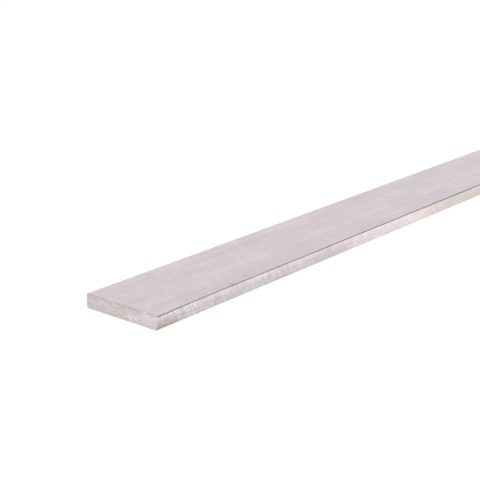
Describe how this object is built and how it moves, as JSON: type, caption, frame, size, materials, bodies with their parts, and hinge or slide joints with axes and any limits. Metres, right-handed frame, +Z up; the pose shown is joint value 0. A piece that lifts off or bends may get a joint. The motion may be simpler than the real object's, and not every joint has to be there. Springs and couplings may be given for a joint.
{
  "type": "metal flat bar",
  "caption": "Length of plain stainless steel flat bar: a thin rectangular section with finely rounded long edges and square sawn ends.",
  "frame": {"origin": "centre of the underside", "axes": "+X along the bar, from the pictured end to the far end; +Y across its width, away from the pictured long edge; +Z up through its thickness"},
  "size_m": [0.5, 0.05, 0.008],
  "materials": {
    "mill_steel": "pale matt mill finish, fine grain along the bar, saw marks across the ends"
  },
  "bodies": {
    "root": {"flat_bar": "mill_steel"}
  },
  "joints": []
}
